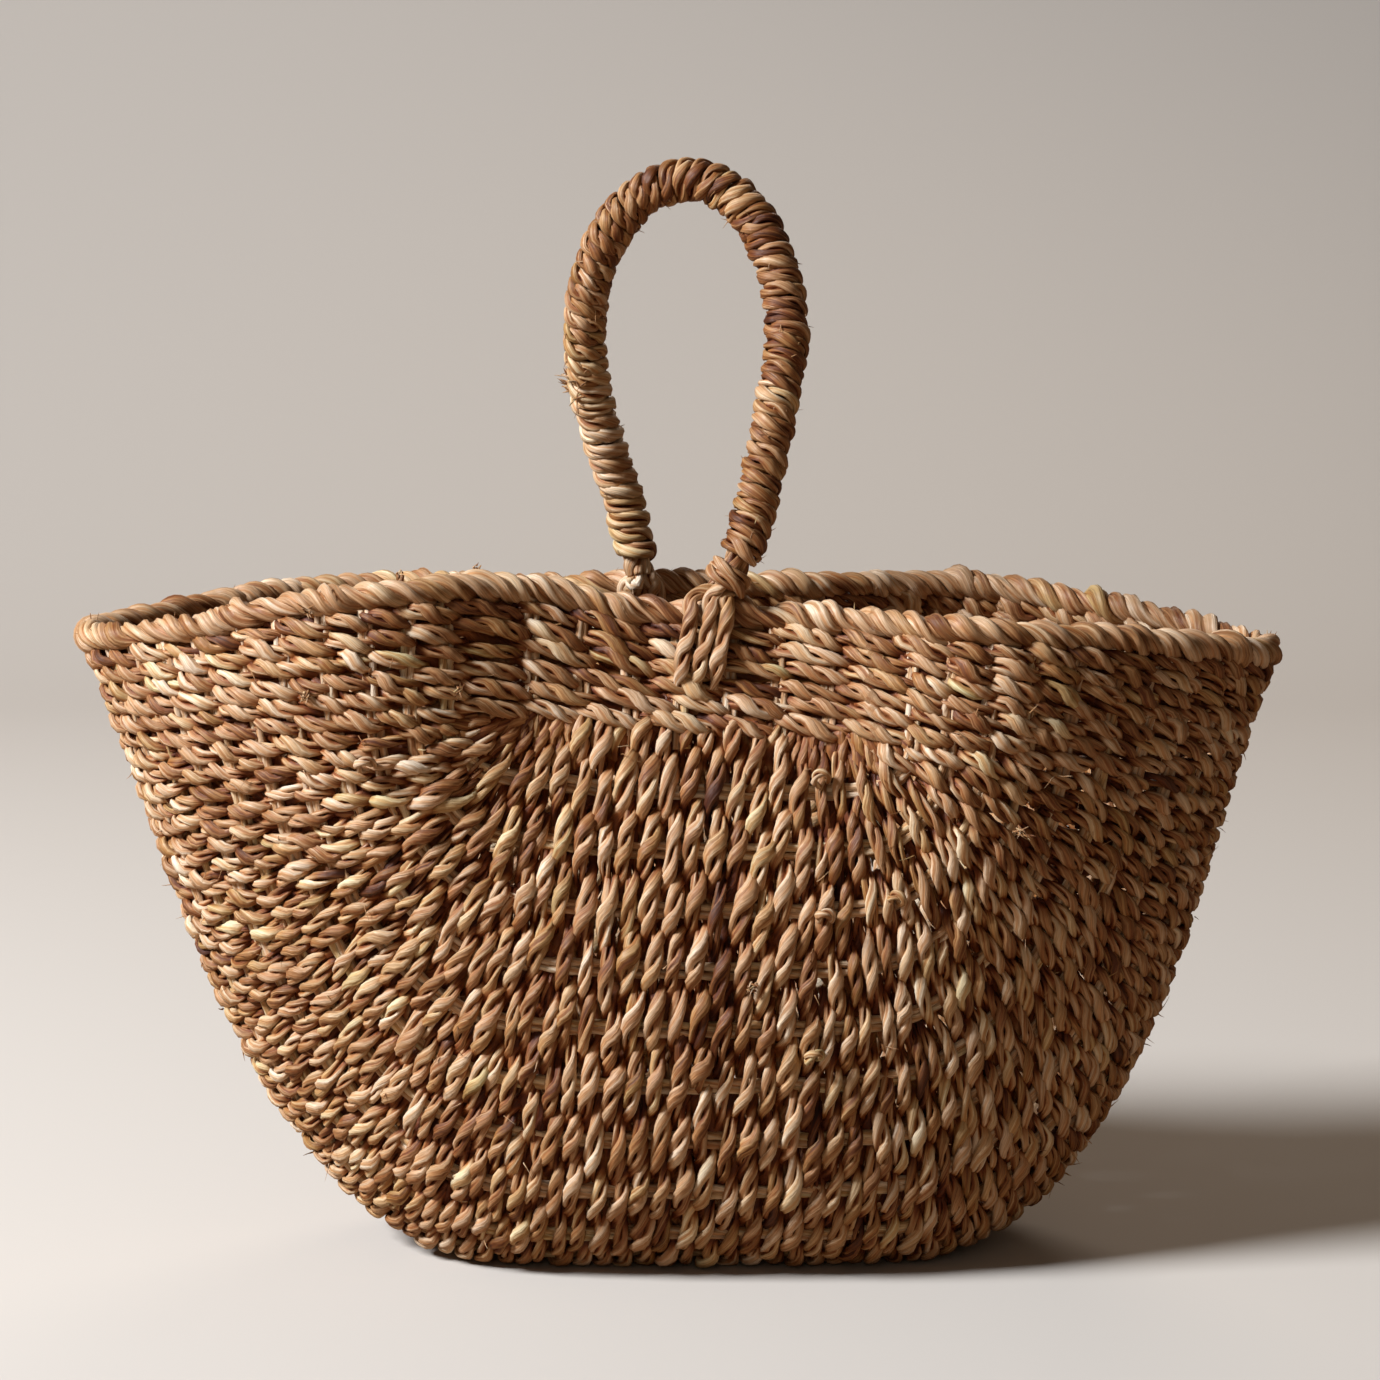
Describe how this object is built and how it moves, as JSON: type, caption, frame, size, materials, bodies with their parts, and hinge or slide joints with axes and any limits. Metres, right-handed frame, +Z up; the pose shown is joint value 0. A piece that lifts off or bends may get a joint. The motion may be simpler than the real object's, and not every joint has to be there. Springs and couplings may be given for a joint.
{
  "type": "fruit picking basket",
  "caption": "Boat-shaped fruit picking basket of twined plant cord, with a rope rim, a drawn-in mouth and one cord-wrapped loop handle that leans.",
  "frame": {"origin": "on the table under the middle of the mouth: centre of the footprint box, at the base", "axes": "+X along the length towards the tip on the right of the picture, +Y towards the back, +Z up; the front faces -Y"},
  "size_m": [0.4899, 0.1876, 0.4421],
  "materials": {
    "weft_cord": "matte",
    "rib_cord": "matte",
    "rim_rope": "matte",
    "handle_wrap": "matte",
    "handle_cord": "matte"
  },
  "bodies": {
    "basket": {"weft_panel_outer": "weft_cord", "weft_left_end_outer": "weft_cord", "weft_right_end_outer": "weft_cord", "weft_band_outer": "weft_cord", "weft_panel_inner": "weft_cord", "weft_left_end_inner": "weft_cord", "weft_right_end_inner": "weft_cord", "weft_band_inner": "weft_cord", "rib_01": "rib_cord", "rib_02": "rib_cord", "rib_03": "rib_cord", "rib_04": "rib_cord", "rib_05": "rib_cord", "rib_06": "rib_cord", "rib_07": "rib_cord", "rib_08": "rib_cord", "rib_09": "rib_cord", "rib_10": "rib_cord", "rib_11": "rib_cord", "rib_12": "rib_cord", "rib_13": "rib_cord", "rib_14": "rib_cord", "rib_15": "rib_cord", "rib_16": "rib_cord", "rib_17": "rib_cord", "rib_18": "rib_cord", "rib_19": "rib_cord", "rib_20": "rib_cord", "rib_21": "rib_cord", "rib_22": "rib_cord", "rib_23": "rib_cord", "stake_front_1": "rib_cord", "stake_front_2": "rib_cord", "stake_front_3": "rib_cord", "stake_back_1": "rib_cord", "stake_back_2": "rib_cord", "stake_back_3": "rib_cord", "rim_rope": "rim_rope", "lashing_front_1": "handle_cord", "lashing_front_2": "handle_cord", "lashing_front_3": "handle_cord", "lashing_back_1": "handle_cord", "lashing_back_2": "handle_cord", "lashing_back_3": "handle_cord", "front_binding": "handle_wrap"},
    "handle": {"handle_core_1": "handle_cord", "handle_core_2": "handle_cord", "handle_core_3": "handle_cord", "handle_wrap_back": "handle_wrap", "handle_wrap_top": "handle_wrap", "handle_wrap_front": "handle_wrap", "neck_back_1": "handle_cord", "neck_back_2": "handle_cord", "neck_back_3": "handle_cord", "neck_front_1": "handle_cord", "neck_front_2": "handle_cord", "neck_front_3": "handle_cord"}
  },
  "joints": [
    {"name": "handle_lean", "type": "hinge", "parent": "basket", "child": "handle", "pos_m": [0.0032, -0.0044, 0.2799], "axis": [-0.379, 0.9186, -0.1121], "range_deg": [-30, 30], "deforming": ["neck_back_1", "neck_back_2", "neck_back_3", "neck_front_1", "neck_front_2", "neck_front_3"]}
  ]
}
